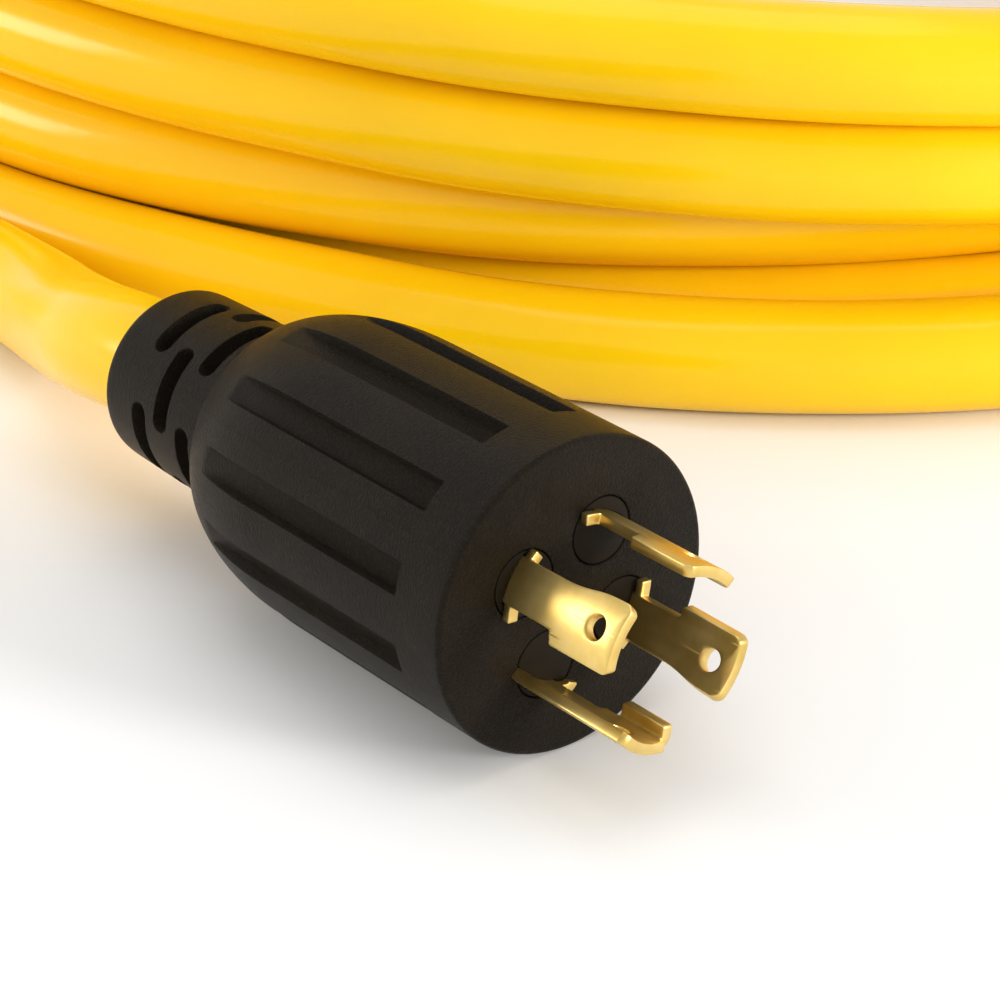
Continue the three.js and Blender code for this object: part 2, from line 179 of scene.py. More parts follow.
def facing_out(obj):
    bm = bmesh.new()
    bm.from_mesh(obj.data)
    bmesh.ops.recalc_face_normals(bm, faces=bm.faces)
    bm.to_mesh(obj.data)
    bm.free()
    return obj


def sector(name, inner_r, outer_r, edges, x0, x1, steps=24):
    """Part of a tube round the X axis, between two radii and two angles."""
    first, last = edges
    angles = [first + (last - first) * i / steps for i in range(steps + 1)]
    outline = [(outer_r, a) for a in angles] + [(inner_r, a) for a in reversed(angles)]
    count = len(outline)
    verts = [polar(x, r, a) for x in (x0, x1) for r, a in outline]
    faces = [(i, (i + 1) % count, count + (i + 1) % count, count + i) for i in range(count)]
    faces += [tuple(range(count)), tuple(range(2 * count - 1, count - 1, -1))]
    return facing_out(add_object(name, verts, faces))


def smoothstep(low, high, value):
    t = min(max((value - low) / (high - low), 0.0), 1.0)
    return t * t * (3 - 2 * t)


def spread(start, end, step):
    """Evenly spaced values from start to end, no further apart than step; the end is left out."""
    count = max(1, math.ceil(abs(end - start) / step))
    return [start + (end - start) * i / count for i in range(count)]


# ---- camera ----
CAMERA = {  # in metres; the lens and the sensor are in millimetres
    "place": (0.3016, -0.2282, 0.2104),
    "aim": (0.00778, 0.01053, 0.0225),
    "lens": 109.84,
    "sensor": 36,
}


def place_camera():
    data = bpy.data.cameras.new("camera")
    data.lens = CAMERA["lens"]
    data.sensor_width = CAMERA["sensor"]
    data.clip_start = 0.01
    camera = bpy.data.objects.new("camera", data)
    bpy.context.scene.collection.objects.link(camera)
    camera.location = CAMERA["place"]
    camera.rotation_euler = (Vector(CAMERA["aim"]) - camera.location).to_track_quat("-Z", "Y").to_euler()
    bpy.context.scene.camera = camera


# ---- the cable's route ----
LEAD = [  # from the plug's neck to the coil, in metres
    (-0.0560, 0, 0.0225), (-0.065, 0.0001, 0.0220), (-0.073, 0.0006, 0.0208), (-0.081, 0.0020, 0.0190),
    (-0.089, 0.0044, 0.0168), (-0.098, 0.0073, 0.0143), (-0.108, 0.0103, 0.0120), (-0.119, 0.0130, 0.0103),
    (-0.130, 0.0141, 0.0095), (-0.143, 0.0139, 0.0094), (-0.156, 0.0119, 0.0094),
]
COIL_MIDDLE = (-146.3, 206.2)
COIL_START = -97.0  # angle round the coil where the lead joins it; the cable then runs clockwise
COIL_STEP = 3.0  # degrees between points
STEPS_PER_TURN = round(360 / COIL_STEP)
COIL_R = 164.0  # of the lowest turn in front
FLOOR_TURNS = 4
MOVED_IN = 270  # each floor turn lies a diameter further in once it has come this far round
# The turns on top of those: degrees gone round the turn, and cable diameters in from COIL_R.
UPPER_TURNS = (
    ((30, 3), (60, 2.85), (90, 2.8), (180, 3.1), (270, 3.2), (315, 3), (360, 2.7)),
    ((30, 2.3), (65, 1.85), (180, 2.05), (230, 2), (270, 1.55), (300, 1.1), (330, 0.6), (360, 0.45)),
    ((30, 0.5), (90, 0.8), (180, 1), (230, 0.95), (270, 0.7), (300, 0.3), (330, 0.15), (360, 0.4)),
    ((30, 0.5), (90, 0.8), (180, 1), (230, 0.85), (270, 0.4), (300, 0.1), (330, 0), (360, 0.4)),
    ((20, 0.6), (50, 0.75), (65, 0.9), (78, 1.05)),
)
SETTLING = 5  # steps either way over which a stiff cable evens out its bumps
LAST_RISE = {"from": 25, "to": 84, "height": 15}  # the last turn's climb to the connector's neck
# The coil isn't quite round: it bulges at one side, where only its inmost turns stay back,
# and a little behind.
BULGE = {"height": 24.5, "from": -30, "peak": 23, "to": 125, "none_r": 100, "full_r": 145}
SLACK = {"height": 3, "from": 60, "to": 250}
NECK_STRAIGHT = 8  # straight cable before the connector
NECK_OVERLAP = 0.4  # and into its neck
ROUTE_STEP = 0.0035  # metres between the route's points


def upper_stations():
    """(degrees travelled, diameters in from COIL_R) from the end of the floor turns on."""
    stations = [(360 * FLOOR_TURNS, FLOOR_TURNS - 1)]
    for turn, profile in enumerate(UPPER_TURNS, start=FLOOR_TURNS):
        stations += [(360 * turn + s, inward) for s, inward in profile]
    return stations


def coil_radii():
    """Degrees travelled and radius along the coil: a spiral on the floor, then the turns on top."""
    stations = upper_stations()
    travel = [COIL_STEP * i for i in range(int(stations[-1][0] / COIL_STEP) + 1)]
    floor = [s for s in travel if s < 360 * FLOOR_TURNS]
    inward = [s // 360 - 1 + smoothstep(0, MOVED_IN, s % 360) for s in floor]
    inward += smooth_values(stations, travel[len(floor):])
    radii = [COIL_R - 2 * CABLE_R * share for share in evened_out(inward)]
    return travel, [r + out_of_round(s, r) for s, r in zip(travel, radii)]


def resting_heights(radii):
    """Each point lies on the floor, or on whichever earlier turn below it holds it up highest."""
    heights = []
    for i, r in enumerate(radii):
        rests = [CABLE_R]
        for j in range(i - STEPS_PER_TURN, -1, -STEPS_PER_TURN):
            clear = (2 * CABLE_R) ** 2 - (r - radii[j]) ** 2
            if clear > 0:
                rests.append(heights[j] + math.sqrt(clear))
        heights.append(max(rests))
    return heights


def evened_out(values):
    """The values averaged over a few neighbours, as a stiff cable bridges small dips."""
    evened = []
    for i in range(len(values)):
        reach = min(SETTLING, i, len(values) - 1 - i)
        near = values[i - reach:i + reach + 1]
        evened.append(sum(near) / len(near))
    return evened


def out_of_round(travel, radius):
    """How far the coil's bulge and slack push a turn outwards."""
    along = (travel - BULGE["from"]) % 360 + BULGE["from"]
    rise = (along - BULGE["from"]) / (BULGE["peak"] - BULGE["from"])
    fall = (BULGE["to"] - along) / (BULGE["to"] - BULGE["peak"])
    share = max(0.0, min(rise, fall, 1.0))
    reach = max(0.0, min((radius - BULGE["none_r"]) / (BULGE["full_r"] - BULGE["none_r"]), 1.0))
    bulge = BULGE["height"] * reach * 0.5 * (1 - math.cos(math.pi * share))
    behind = (along - SLACK["from"]) / (SLACK["to"] - SLACK["from"])
    slack = SLACK["height"] * math.sin(math.pi * max(0.0, min(behind, 1.0))) ** 2
    return bulge + slack


def monotone_slopes(xs, ys):
    """Slopes of a smooth curve through the points that doesn't overshoot them."""
    chords = [(y1 - y0) / (x1 - x0) for x0, x1, y0, y1 in zip(xs, xs[1:], ys, ys[1:])]
    inner = [2 * a * b / (a + b) if a * b > 0 else 0.0 for a, b in zip(chords, chords[1:])]
    return [chords[0], *inner, chords[-1]]


def smooth_values(stations, at):
    """The value at each place along the (place, value) stations."""
    xs, ys = zip(*stations)
    slopes = monotone_slopes(xs, ys)
    values, i = [], 0
    for s in at:
        while i + 2 < len(xs) and s > xs[i + 1]:
            i += 1
        h = xs[i + 1] - xs[i]
        t = (s - xs[i]) / h
        values.append(
            ys[i] * (1 + 2 * t) * (1 - t) ** 2
            + ys[i + 1] * t * t * (3 - 2 * t)
            + h * slopes[i] * t * (1 - t) ** 2
            - h * slopes[i + 1] * t * t * (1 - t)
        )
    return values


def coil_points():
    travel, radii = coil_radii()
    heights = evened_out(resting_heights(radii))
    last_turn = 360 * (FLOOR_TURNS + len(UPPER_TURNS) - 1)
    points = []
    for s, r, z in zip(travel, radii, heights):
        angle = math.radians(COIL_START - s)
        z += LAST_RISE["height"] * smoothstep(LAST_RISE["from"], LAST_RISE["to"], s - last_turn)
        x = COIL_MIDDLE[0] + r * math.cos(angle)
        y = COIL_MIDDLE[1] + r * math.sin(angle)
        points.append(Vector((x, y, z)) * MM)
    return points


def catmull_rom(points, step):
    """A smooth curve through the points, with a new point about every step."""
    padded = [2 * points[0] - points[1], *points, 2 * points[-1] - points[-2]]
    curve = []
    for a, b, c, d in zip(padded, padded[1:], padded[2:], padded[3:]):
        count = max(1, round((c - b).length / step))
        for i in range(count):
            t = i / count
            curve.append(0.5 * (2 * b + (c - a) * t + (2 * a - 5 * b + 4 * c - d) * t * t
                                + (3 * b - a - 3 * c + d) * t ** 3))
    return [*curve, points[-1]]


def cable_route(connector):
    """Every point of the cable's centre line, from the plug's neck to the connector's."""
    neck = connector @ Vector(((NECK_END - CONNECTOR_EXTRA) * MM, 0, 0))
    along = (connector.to_3x3() @ Vector((1, 0, 0))).normalized()
    lead = [Vector(p) for p in LEAD]
    into_neck = [neck - NECK_STRAIGHT * MM * along, neck + NECK_OVERLAP * MM * along]
    return catmull_rom([*lead, *coil_points(), *into_neck], ROUTE_STEP)


def tube(name, path, radius, sides):
    """A round tube along the path, its surface just lifted where the cores lie under it."""
    tangents = [(b - a).normalized() for a, b in zip([path[0], *path], [*path[1:], path[-1]])]
    tangents[0] = (path[1] - path[0]).normalized()
    side = tangents[0].orthogonal().normalized()
    bm = bmesh.new()
    uv = bm.loops.layers.uv.new("UVMap")
    rings, lengths, run = [], [], 0.0
    for i, (point, tangent) in enumerate(zip(path, tangents)):
        side = (side - tangent * side.dot(tangent)).normalized()
        up = tangent.cross(side)
        run += (point - path[i - 1]).length if i else 0.0
        lengths.append(run)
        ring = []
        for k in range(sides):
            turn = 2 * math.pi * k / sides
            twist = 2 * math.pi * run / (CORE_LOBES["lay"] * MM) * CORE_LOBES["count"]
            lobe = math.cos(CORE_LOBES["count"] * turn - twist)
            r = radius + 0.5 * CORE_LOBES["height"] * MM * (lobe - 1)
            ring.append(bm.verts.new(point + r * (math.cos(turn) * side + math.sin(turn) * up)))
        rings.append(ring)
    for i, (low, high) in enumerate(zip(rings, rings[1:])):
        for k in range(sides):
            face = bm.faces.new((low[k], low[(k + 1) % sides], high[(k + 1) % sides], high[k]))
            face.smooth = True
            corners = ((k, i), (k + 1, i), (k + 1, i + 1), (k, i + 1))
            for loop, (u, v) in zip(face.loops, corners):
                loop[uv].uv = (u / sides, lengths[v])
    bm.faces.new(reversed(rings[0]))
    bm.faces.new(rings[-1])
    mesh = bpy.data.meshes.new(name)
    bmesh.ops.recalc_face_normals(bm, faces=bm.faces)
    bm.to_mesh(mesh)
    bm.free()
    return link(name, mesh)


# ---- the overmould of either cable end ----
def outer_radius(x):
    """Grip, rounded shoulder and tapering neck."""
    start, end = SHOULDER["start"], SHOULDER["end"]
    if x > start:
        return BODY_R
    if x > end:
        u = (x - start) / (end - start)
        return BODY_R - SHOULDER["drop"] * (1 - math.sqrt(1 - u * u))
    return NECK_R + NECK_TAPER["flare"] - NECK_TAPER["drop"] * (end - x) / (end - NECK_END)


def groove_columns():
    """Angles of the grid's columns: close together where the channels' walls are."""
    pitch = 360 / GROOVE["count"]
    half = GROOVE["half_span"]
    wall, step = GRID["wall_columns"], GRID["column_step"]
    past, short = GRID["wall_past"], GRID["wall_short"]
    columns = []
    for i in range(GROOVE["count"]):
        middle = GROOVE["first"] + pitch * i
        columns += [middle - half + w for w in wall]
        columns += spread(middle - half + past, middle + half - short, step)
        columns += [middle + half + w for w in wall]
        columns += spread(middle + half + past, middle - half + pitch - short, step)
    return columns


def grip_rows():
    """Places of the grid's rows along X, from the face to the neck's end."""
    front, step = GROOVE["front"], GRID["row_step"]
    crease = SHOULDER["end"] + 0.3
    rows = [-0.0, -0.08, -0.25, -0.5, -0.8]
    rows += spread(-1.4, front + 0.7, step["body"])
    rows += [front + w for w in GRID["wall_rows"]]
    rows += spread(front - 1, SHOULDER["start"], step["body"])
    rows += spread(SHOULDER["start"], GRID["steep_from"], step["shoulder"])
    rows += spread(GRID["steep_from"], crease, step["steep"])
    rows += spread(crease, GRID["slots_to"], step["slots"])
    rows += spread(GRID["slots_to"], GRID["last"], step["neck"])
    return rows


def front_rounding(x):
    """How much the rim of the face is rounded off."""
    if x <= -FACE_ROUNDING:
        return 0.0
    return FACE_ROUNDING - math.sqrt(max(FACE_ROUNDING ** 2 - (FACE_ROUNDING + x) ** 2, 0))


def grooved(r, x, angle):
    """The radius with the grip's channels cut in, as far as the shoulder is above their floor."""
    pitch = 360 / GROOVE["count"]
    off = abs((angle - GROOVE["first"] + pitch / 2) % pitch - pitch / 2)
    arc = math.radians(GROOVE["half_span"] - off) * BODY_R
    inside = smoothstep(-GROOVE["wall"] / 2, GROOVE["wall"] / 2, arc)
    inside *= smoothstep(-GROOVE["wall"] / 2, GROOVE["wall"] / 2, GROOVE["front"] - x)
    floor_r = BODY_R - GROOVE["depth"]
    return r - inside * max(0.0, r - floor_r)


def slotted(r, x, angle):
    """The radius with the neck's round-ended flexing slots cut in."""
    pitch = 360 / SLOT["per_row"]
    half_w = SLOT["width"] / 2
    for row_x, first in SLOT_ROWS:
        if abs(x - row_x) > half_w + 0.4:
            continue
        off = abs((angle - first + pitch / 2) % pitch - pitch / 2)
        arc = math.radians(off) * NECK_R
        straight = math.radians(SLOT["span"] / 2) * NECK_R - half_w
        distance = math.hypot(x - row_x, max(arc - straight, 0)) - half_w
        return r - (r - SLOT["floor_r"]) * smoothstep(0.22, -0.22, distance)
    return r


def parting_line(x, angle):
    """A thin raised line where the mould's halves met."""
    off = min(abs((angle - a + 180) % 360 - 180) for a in PARTING["angles"])
    return PARTING["height"] * math.exp(-(math.radians(off) * BODY_R / PARTING["width"]) ** 2)


def neck_mouth():
    """(x, radius) of the rounded end of the neck, in to the cable."""
    length, inner_r, height = MOUTH["length"], CABLE_R + MOUTH["wall"], MOUTH["height"]
    turns = [math.pi / 2 * i / MOUTH["steps"] for i in range(MOUTH["steps"] + 1)]
    return [(NECK_END + length - length * math.sin(t), inner_r + height * math.cos(t)) for t in turns]


def overmould(name, extra):
    """Outer skin with channels and slots, closed at both ends; the plain bore and chamber inside are cut
    out afterwards.
    """
    columns = groove_columns()
    verts, faces = [], []
    rows = [(x, None) for x in grip_rows()] + [(x, r) for x, r in neck_mouth()]
    for x, mouth_r in rows:
        for angle in columns:
            if mouth_r is not None:
                r = mouth_r
            else:
                r = outer_radius(x) - front_rounding(x)
                r = slotted(grooved(r, x, angle), x, angle) + parting_line(x, angle)
            verts.append(polar(x - extra if x < STRETCH_BEHIND else x, r, angle))
    count = len(columns)
    for i in range(len(rows) - 1):
        for k in range(count):
            j = (k + 1) % count
            faces.append((i * count + k, i * count + j, (i + 1) * count + j, (i + 1) * count + k))
    last = (len(rows) - 1) * count
    faces.append(tuple(range(count)))
    faces.append(tuple(range(last + count - 1, last - 1, -1)))
    return facing_out(add_object(name, verts, faces))


def cavity(name, extra, front):
    """The hollow that holds the inner parts, out through the neck's bore."""
    bore_r, r = CHAMBER["bore_r"], CHAMBER["r"]
    mouth = NECK_END - extra
    return revolved(name, (
        (mouth - 2, 0), (mouth - 2, CABLE_R + 0.05), (mouth + 3, CABLE_R + 0.05), (mouth + 3, bore_r),
        (CHAMBER["bore_front"] - extra, bore_r), (CHAMBER["back"] - extra, r), (front, r), (front, 0),
    ))


# ---- the plug ----
def boss_centre(angle):
    return polar(0, BOSS["pitch_r"], angle)[1:]


def boss_hole(name, angle):
    """Cutter for a boss's hole, flared a little where it meets the face."""
    r = BOSS["r"] + 0.12
    lip = r + 0.17
    flare = (
        (FRONT_WALL - 1, 0), (FRONT_WALL - 1, r), (-0.22, r), (-0.08, r + 0.05), (0.02, lip),
        (1, lip), (1, 0),
    )
    return revolved(name, flare, 64, boss_centre(angle))


def plug_overmould():
    body = overmould("plug_grip", 0)
    tools = [cavity("cavity", 0, FRONT_WALL)]
    tools += [boss_hole(f"hole_{i}", a) for i, a in enumerate(BLADE_ANGLES)]
    return smooth(boolean(body, tools), 42)


def blade_radius(role):
    return BLADE_MIDDLE_R + (GROUND_OUT if role == "ground" else 0)


def blade_carrier():
    """Disc with a round boss for each blade, flush with the face."""
    r, front, rim = CHAMBER["r"] - 0.3, FRONT_WALL - 0.3, BOSS["r"]
    disc = revolved("plug_carrier", ((CARRIER_BACK, 0), (CARRIER_BACK, r), (front, r), (front, 0)))
    outline = (
        (FRONT_WALL - 2, 0), (FRONT_WALL - 2, rim), (-0.3, rim), (-0.12, rim - 0.05),
        (-0.03, rim - 0.15), (0, rim - 0.3), (0, 0),
    )
    bosses = [revolved(f"boss_{i}", outline, 64, boss_centre(a)) for i, a in enumerate(BLADE_ANGLES)]
    boolean(disc, bosses, "UNION")
    half = BLADE_THICKNESS / 2 + 0.12
    slots = []
    for role, angle in zip(ROLES, BLADE_ANGLES):
        r = blade_radius(role)
        edges = (angle - (23.4 if role == "ground" else 17.8), angle + 15.3)
        slots.append(sector(f"slot_{role}", r - half, r + half, edges, CARRIER_BACK - 1, 1))
    return smooth(boolean(disc, slots), 30)


def blade_outline(role):
    """(x, angle) corners of the flat blade, each with its corner radius in millimetres."""
    hooked_side = (
        (-15.8, 8, 0.3), (-12, 8, 0.3), (-12, 14.5, 0.3), (0.3, 14.5, 0.1), (0.3, 25.5, 0.25),
        (1.6, 25.5, 0.25), (1.6, 14.5, 0.25), (9.1, 14.5, 0.5), (9.4, 23.8, 0.5), (19.7, 23.2, 0.6),
        (20.5, 20.5, 0.6),
    )
    waisted_side = (
        (20.5, -19.5, 0.6), (19.6, -22.8, 0.6), (15.5, -22.2, 6), (10.5, -17.2, 6), (1.6, -17, 0.25),
        (1.6, -23.5, 0.25), (0.3, -23.5, 0.25), (0.3, -17, 0.1), (-12, -17, 0.3),
    )
    straight_side = (
        (20.5 + GROUND_LONGER, -19, 0.6), (19.9 + GROUND_LONGER, -22.8, 0.6), (-12, -22.8, 0.3),
    )
    other_side = straight_side if role == "ground" else waisted_side
    root = ((-12, -8, 0.3), (-15.8, -8, 0.3))
    return (*hooked_side, *other_side, *root)


def rounded(corners, steps=5):
    """The outline with each (point, radius) corner turned into a short curve."""
    outline = []
    for i, (point, r) in enumerate(corners):
        before, after = corners[i - 1][0], corners[(i + 1) % len(corners)][0]
        into, out = before - point, after - point
        cut = min(r, 0.45 * into.length, 0.45 * out.length)
        start, end = point + into.normalized() * cut, point + out.normalized() * cut
        for k in range(steps + 1):
            t = k / steps
            outline.append(start * (1 - t) ** 2 + point * 2 * t * (1 - t) + end * t * t)
    return outline


def is_rim(edge):
    """Whether the edge is a square one that runs round the plate's top or bottom."""
    if len(edge.link_faces) != 2 or abs(edge.calc_face_angle() - math.pi / 2) >= 0.2:
        return False
    return abs(edge.verts[0].co.z - edge.verts[1].co.z) < 0.01


def sheet_plate(outline, holes, thickness, edge):
    """A flat bmesh plate in X-Y with softened edges, from outlines of 2-D points."""
    bm = bmesh.new()
    edges = []
    for loop in (outline, *holes):
        verts = [bm.verts.new((p.x, p.y, -thickness / 2)) for p in loop]
        edges += [bm.edges.new((a, b)) for a, b in zip(verts, verts[1:] + verts[:1])]
    bmesh.ops.triangle_fill(bm, use_beauty=True, edges=edges)
    top = bmesh.ops.extrude_face_region(bm, geom=list(bm.faces))["geom"]
    lifted = [g for g in top if isinstance(g, bmesh.types.BMVert)]
    bmesh.ops.translate(bm, vec=(0, 0, thickness), verts=lifted)
    bmesh.ops.recalc_face_normals(bm, faces=bm.faces)
    rims = [e for e in bm.edges if is_rim(e)]
    bmesh.ops.bevel(bm, geom=rims, offset=edge, segments=2, profile=0.5, affect="EDGES")
    return bm


def slice_across(bm, low, high, step):
    """Cuts the plate into narrow strips of Y, so that it can be bent."""
    for y in spread(low, high, step):
        geom = [*bm.verts, *bm.edges, *bm.faces]
        bmesh.ops.bisect_plane(bm, geom=geom, dist=1e-4, plane_co=(0, y, 0), plane_no=(0, 1, 0))


def bend_onto_cylinder(bm, angle, radius, flange_at=None):
    """Wraps the plate round the X axis; past flange_at it turns sharply inwards."""
    for v in bm.verts:
        x, s, t = v.co
        over = 0 if flange_at is None else max(0.0, s - flange_at)
        base = min(s, flange_at) if over else s
        turn = math.radians(angle) + base / radius
        outward = Vector((0, math.cos(turn), math.sin(turn)))
        sideways = Vector((0, -math.sin(turn), math.cos(turn)))
        bend = min(over / FLANGE["bend_r"], math.pi / 2)
        straight = over - bend * FLANGE["bend_r"]
        reach = math.sin(bend) * FLANGE["bend_r"]
        drop = (1 - math.cos(bend)) * FLANGE["bend_r"] + straight
        normal = outward * math.cos(bend) + sideways * math.sin(bend)
        v.co = Vector((x, 0, 0)) + outward * (radius - drop) + sideways * reach + normal * t


def with_flange(corners, bend_at):
    """The flat outline with a flap in place of its hooked edge; the flap is bent down at bend_at."""
    flap = bend_at + FLANGE["length"]
    hook = next(i for i, (point, _) in enumerate(corners) if point.x > 9.2)
    step_up = [(Vector((9.4, bend_at)), 0.4), (Vector((FLANGE["from"], bend_at)), 0.4)]
    flap_edge = [(Vector((FLANGE["from"], flap)), 0.5), (Vector((FLANGE["to"], flap)), 0.5)]
    back_down = [(Vector((FLANGE["to"], bend_at)), 0.4)]
    return corners[:hook] + step_up + flap_edge + back_down + corners[hook + 2:]


def blade(role, angle):
    radius = blade_radius(role)

    def arc(degrees):
        return math.radians(degrees) * radius

    corners = [(Vector((x, arc(a))), r) for x, a, r in blade_outline(role)]
    flange_at = None
    if role == "ground":
        flange_at = arc(FLANGE["angle"]) - FLANGE["bend_r"]
        corners = with_flange(corners, flange_at)
    hole, sides = BLADE_HOLE, BLADE_HOLE["sides"]
    middle = Vector((hole["x"], arc(hole["angle"])))
    turns = (2 * math.pi * i / sides for i in range(sides))
    around = [middle + hole["r"] * Vector((math.cos(t), math.sin(t))) for t in turns]
    bm = sheet_plate(rounded(corners), [around], BLADE_THICKNESS, BLADE_EDGE)
    slice_across(bm, arc(BLADE_SPAN[0]), arc(BLADE_SPAN[1]) + BLADE_MARGIN, BEND_STEP)
    bend_onto_cylinder(bm, angle, radius, flange_at)
    piece = object_from(bm, f"plug_blade_{role}_fine")
    return smooth(boolean(piece, [crimp_barrel(angle)], "UNION"), 32)


def crimp_barrel(angle):
    """The tube behind the blade that is crimped on the wire."""
    at = polar(0, BARREL["pitch_r"], angle)[1:]
    r, bore, front, back = BARREL["r"], BARREL["bore_r"], BARREL["front"], BARREL["back"]
    outline = ((front + 0.6, 0), (front + 0.6, r - 0.3), (front, r), (back + 0.3, r), (back, r - 0.3),
               (back, bore), (front - 0.5, bore), (front - 0.5, 0))
    return revolved("barrel", outline, 32, at)


# ---- the connector ----
def connector_overmould():
    body = overmould("connector_grip", CONNECTOR_EXTRA)
    front = INSERT["back"] - 0.3
    r = INSERT["r"] + 0.15
    mouth = revolved("mouth", ((front, 0), (front, r), (-0.25, r), (0, r + 0.2), (1, r + 0.2), (1, 0)))
    return smooth(boolean(body, [cavity("cavity", CONNECTOR_EXTRA, front + 0.5), mouth]), 42)


def face_insert():
    """Hard disc in the connector's face, with a curved slot for each blade."""
    r, back = INSERT["r"], INSERT["back"]
    outline = ((back, 0), (back, r), (-0.4, r), (-0.12, r - 0.08), (0, r - 0.4), (0, 0))
    disc = revolved("connector_insert", outline)
    tools = []
    for i, angle in enumerate(-a for a in BLADE_ANGLES):
        edges = (angle - ENTRY["half_span"], angle + ENTRY["half_span"])
        tools.append(sector(f"entry_{i}", ENTRY["inner"], ENTRY["outer"], edges, -ENTRY["depth"], 1))
        inner, outer = POCKET["inner"], POCKET["outer"]
        tools.append(sector(f"pocket_{i}", inner, outer, edges, back - 1, POCKET["front"]))
    ground = -BLADE_ANGLES[ROLES.index("ground")]
    edges = (ground + FLANGE_ENTRY["from"], ground + FLANGE_ENTRY["to"])
    tools.append(sector("flange_entry", FLANGE_ENTRY["inner"], FLANGE_ENTRY["outer"], edges, back - 1, 1))
    return smooth(boolean(disc, tools), 30)


# ---- materials ----
class Nodes:
    """A material's node tree with short calls for the nodes used here."""

    def __init__(self, name):
        self.material = bpy.data.materials.new(name)
        self.material.use_nodes = True
        self.tree = self.material.node_tree
        self.surface = self.tree.nodes["Principled BSDF"]
        self.place = self.tree.nodes.new("ShaderNodeTexCoord").outputs["Object"]

    def node(self, kind, **values):
        node = self.tree.nodes.new("ShaderNode" + kind)
        for key, value in values.items():
            if key in node.inputs:
                self.put(value, node.inputs[key])
            else:
                setattr(node, key, value)
        return node

    def put(self, value, socket):
        if isinstance(value, bpy.types.NodeSocket):
            self.tree.links.new(value, socket)
        else:
            socket.default_value = value

    def stretched(self, scale):
        """The object's coordinates, squeezed differently along each axis."""
        mapping = self.node("Mapping", Vector=self.place)
        mapping.inputs["Scale"].default_value = scale
        return mapping.outputs["Vector"]

    def noise(self, scale, detail=3, roughness=0.55, where=None):
        noise = self.node("TexNoise", Vector=where or self.place, Scale=scale, Detail=detail,
                          Roughness=roughness)
        return noise.outputs["Fac"]

    def ramp(self, factor, low, high, start=0.3, end=0.7):
        ramp = self.node("ValToRGB", Fac=factor)
        first, last = ramp.color_ramp.elements
        first.position, last.position = start, end
        first.color, last.color = (*low, 1), (*high, 1)
        return ramp.outputs["Color"]

    def between(self, factor, low, high, start=0.0, end=1.0):
        span = self.node("MapRange", Value=factor)
        for index, value in enumerate((start, end, low, high), start=1):
            span.inputs[index].default_value = value
        return span.outputs["Result"]

    def math(self, operation, a, b=0.0):
        node = self.node("Math", operation=operation)
        self.put(a, node.inputs[0])
        self.put(b, node.inputs[1])
        return node.outputs["Value"]

    def mixed(self, factor, a, b):
        node = self.node("Mix", data_type="RGBA")
        self.put(factor, node.inputs["Factor"])
        self.put(a if isinstance(a, bpy.types.NodeSocket) else (*a, 1), node.inputs[6])
        self.put(b if isinstance(b, bpy.types.NodeSocket) else (*b, 1), node.inputs[7])
        return node.outputs[2]

    def bump(self, height, strength, distance, under=None):
        bump = self.node("Bump", Height=height, Strength=strength, Distance=distance)
        if under is not None:
            self.put(under, bump.inputs["Normal"])
        return bump.outputs["Normal"]

    def finish(self, **sockets):
        for name, value in sockets.items():
            self.put(value, self.surface.inputs[name.replace("_", " ")])
        return self.material


def overmould_material():
    """Brown-black PVC with the fine grain of a spark-eroded mould."""
    n = Nodes("overmould_pvc")
    grain = n.noise(2600, 4, 0.7)
    patches = n.noise(60, 3)
    colour = n.ramp(patches, (0.0070, 0.0046, 0.0021), (0.0115, 0.0077, 0.0036))
    colour = n.mixed(n.between(grain, 0.0, 0.6, 0.5, 0.72), colour, (0.036, 0.026, 0.014))
    roughness = n.between(n.noise(220, 3), 0.24, 0.36)
    normal = n.bump(grain, 1.0, 0.0004)
    normal = n.bump(patches, 0.15, 0.0003, normal)
    return n.finish(Base_Color=colour, Roughness=roughness, Normal=normal, Specular_IOR_Level=0.08)


def carrier_material():
    """Satin nylon, a shade browner than the overmould."""
    n = Nodes("carrier_nylon")
    mottle = n.noise(180, 3)
    colour = n.ramp(mottle, (0.0075, 0.0050, 0.0024), (0.0120, 0.0082, 0.0040))
    normal = n.bump(n.noise(1800, 3), 0.3, 0.00008)
    return n.finish(Base_Color=colour, Roughness=n.between(mottle, 0.45, 0.58), Normal=normal,
                    Specular_IOR_Level=0.09)


def brass_material():
    """Blanked sheet brass with a fine brushed grain and slightly dulled patches."""
    n = Nodes("brass_sheet")
    brushed = n.noise(900, 4, 0.6, n.stretched((0.06, 1, 1)))
    dull = n.noise(140, 4)
    colour = n.ramp(dull, (0.70, 0.48, 0.12), (0.90, 0.67, 0.26))
    roughness = n.math("ADD", n.between(brushed, 0.24, 0.38), n.between(dull, 0.0, 0.08))
    normal = n.bump(brushed, 0.3, 0.00005)
    return n.finish(Base_Color=colour, Metallic=0.96, Roughness=roughness, Normal=normal)


def copper_material():
    """Bright stranded copper."""
    n = Nodes("copper_wire")
    strands = n.noise(1500, 2, 0.5, n.stretched((0.08, 1, 1)))
    colour = n.ramp(strands, (0.55, 0.22, 0.10), (0.85, 0.42, 0.24))
    normal = n.bump(strands, 0.6, 0.0002)
    return n.finish(Base_Color=colour, Metallic=1.0, Roughness=0.32, Normal=normal)


